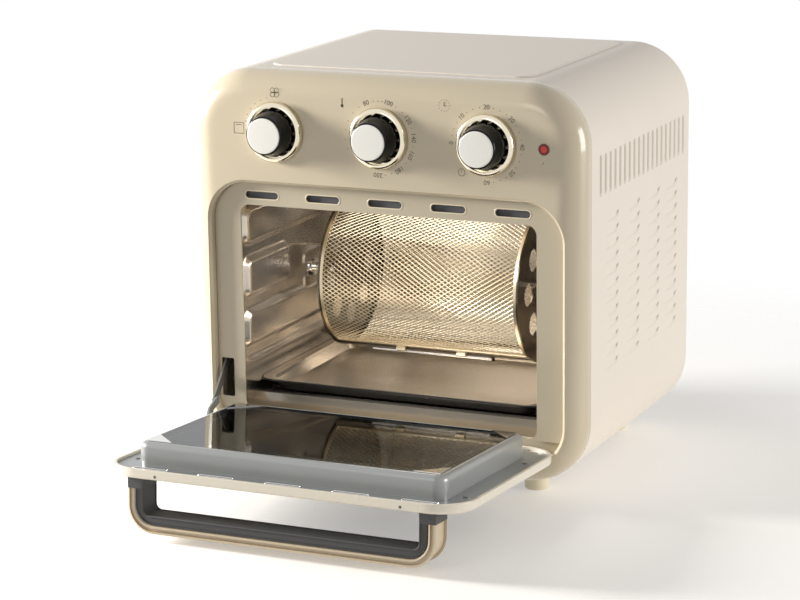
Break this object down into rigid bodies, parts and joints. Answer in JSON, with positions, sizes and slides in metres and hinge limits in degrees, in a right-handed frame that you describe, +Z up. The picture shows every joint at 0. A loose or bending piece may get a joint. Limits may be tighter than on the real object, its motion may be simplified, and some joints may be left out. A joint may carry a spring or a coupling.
{
  "type": "countertop air fryer oven",
  "caption": "Countertop air fryer oven with rounded case, three front knobs, drop-down glass door with bow handle, turning mesh drum and baking tray",
  "frame": {"origin": "on the floor under the middle of the bounding box, with the door open", "axes": "+X to the right seen from the front, +Y from the front to the back, +Z up"},
  "size_m": [0.34, 0.4622, 0.3375],
  "materials": {
    "cream_paint": "smooth satin enamel",
    "cream_gloss": "glossy moulding",
    "frame_enamel": "semi-gloss enamel",
    "cavity_steel": "bright rolled sheet",
    "zinc_sheet": "plain zinc-coated sheet",
    "bright_steel": "polished",
    "black_plastic": "fine matte",
    "cream_plastic": "satin moulding",
    "dark_enamel": "dark enamel",
    "grey_enamel": "grey enamel",
    "clear_glass": "clear tempered",
    "silver_cap": "pearl silver",
    "red_lens": "translucent lens",
    "black_rubber": "matte",
    "cream_foot": "matte",
    "motor_black": "fine matte",
    "fan_alu": "plain sheet",
    "heater_sheath": "oxidised sheath"
  },
  "bodies": {
    "cabinet": {"cabinet_wrap": "cream_paint", "front_fascia": "cream_gloss", "face_frame": "frame_enamel", "cavity_left": "cavity_steel", "cavity_right": "cavity_steel", "cavity_back": "cavity_steel", "cavity_top": "cavity_steel", "cavity_floor": "cavity_steel", "base_plate": "zinc_sheet", "feet": "cream_foot", "back_panel": "cream_paint", "cord_gland": "black_rubber", "case_screws": "bright_steel", "function_switch": "motor_black", "thermostat": "motor_black", "timer_clockwork": "motor_black", "indicator_lens": "red_lens", "indicator_bezel": "red_lens", "fan_housing": "zinc_sheet", "fan_guard": "cavity_steel", "fan_motor": "motor_black", "upper_heater": "heater_sheath", "lower_heater_front": "heater_sheath", "lower_heater_rear": "heater_sheath", "drum_motor": "motor_black", "bearing_bracket": "cavity_steel"},
    "door": {"door_frame": "cream_gloss", "door_outer_glass": "clear_glass", "door_liner": "dark_enamel", "door_inner_frame": "grey_enamel", "door_inner_glass": "clear_glass", "glass_clips": "bright_steel", "handle_grip": "black_plastic", "handle_cover": "cream_plastic", "door_hinge_pins": "bright_steel"},
    "link": {"check_link": "dark_enamel"},
    "drum_carrier": {"bearing_bush": "bright_steel"},
    "drum": {"drum_shell": "bright_steel", "drum_hinge_pin": "bright_steel", "drum_disc_left": "bright_steel", "drum_disc_right": "bright_steel", "drum_axle": "bright_steel", "drive_tang": "bright_steel"},
    "drum_lid_body": {"drum_lid": "bright_steel"},
    "drum_drive": {"drive_coupler": "bright_steel"},
    "tray": {"baking_tray": "dark_enamel"},
    "fan": {"convection_fan": "fan_alu"},
    "function_knob": {"function_shaft": "bright_steel", "function_knob_skirt": "bright_steel", "function_knob_grip": "black_plastic", "function_knob_cap": "silver_cap"},
    "temperature_knob": {"temperature_shaft": "bright_steel", "temperature_knob_skirt": "bright_steel", "temperature_knob_grip": "black_plastic", "temperature_knob_cap": "silver_cap"},
    "timer_knob": {"timer_shaft": "bright_steel", "timer_knob_skirt": "bright_steel", "timer_knob_grip": "black_plastic", "timer_knob_cap": "silver_cap"}
  },
  "joints": [
    {"name": "door_hinge", "type": "hinge", "parent": "cabinet", "child": "door", "pos_m": [0, -0.02991, 0.0415], "axis": [-1, 0, 0], "range_deg": [0, 86.5]},
    {"name": "link_turn", "type": "hinge", "parent": "door", "child": "link", "pos_m": [-0.1482, -0.04425, 0.06198], "axis": [-1, 0, 0], "range_deg": [-124.5, 0]},
    {"name": "drum_slide", "type": "slide", "parent": "cabinet", "child": "drum_carrier", "axis": [0, 1, 0], "range_m": [-0.25, 0]},
    {"name": "drum_spin", "type": "hinge", "parent": "drum_carrier", "child": "drum", "pos_m": [0, 0.09609, 0.1484], "axis": [-1, 0, 0], "continuous": true},
    {"name": "drum_lid_hinge", "type": "hinge", "parent": "drum", "child": "drum_lid_body", "pos_m": [0, 0.06694, 0.08863], "axis": [-1, 0, 0], "range_deg": [-65, 0]},
    {"name": "drive_spin", "type": "hinge", "parent": "cabinet", "child": "drum_drive", "pos_m": [0.13, 0.09609, 0.1484], "axis": [-1, 0, 0], "continuous": true},
    {"name": "tray_slide", "type": "slide", "parent": "cabinet", "child": "tray", "axis": [0, 1, 0], "range_m": [-0.036, 0]},
    {"name": "fan_spin", "type": "hinge", "parent": "cabinet", "child": "fan", "pos_m": [0, 0.07809, 0.245], "axis": [0, 0, 1], "continuous": true},
    {"name": "function_turn", "type": "hinge", "parent": "cabinet", "child": "function_knob", "pos_m": [-0.0915, -0.04391, 0.2881], "axis": [0, 1, 0], "range_deg": [-90, 0]},
    {"name": "temperature_turn", "type": "hinge", "parent": "cabinet", "child": "temperature_knob", "pos_m": [0, -0.04391, 0.2881], "axis": [0, 1, 0], "range_deg": [0, 210]},
    {"name": "timer_turn", "type": "hinge", "parent": "cabinet", "child": "timer_knob", "pos_m": [0.0915, -0.04391, 0.2881], "axis": [0, 1, 0], "range_deg": [-45, 270]}
  ],
  "couplings": [
    {"joint": "link_turn", "follows": "door_hinge", "ratio": -1.4393},
    {"joint": "drive_spin", "follows": "drum_spin", "ratio": 1}
  ]
}
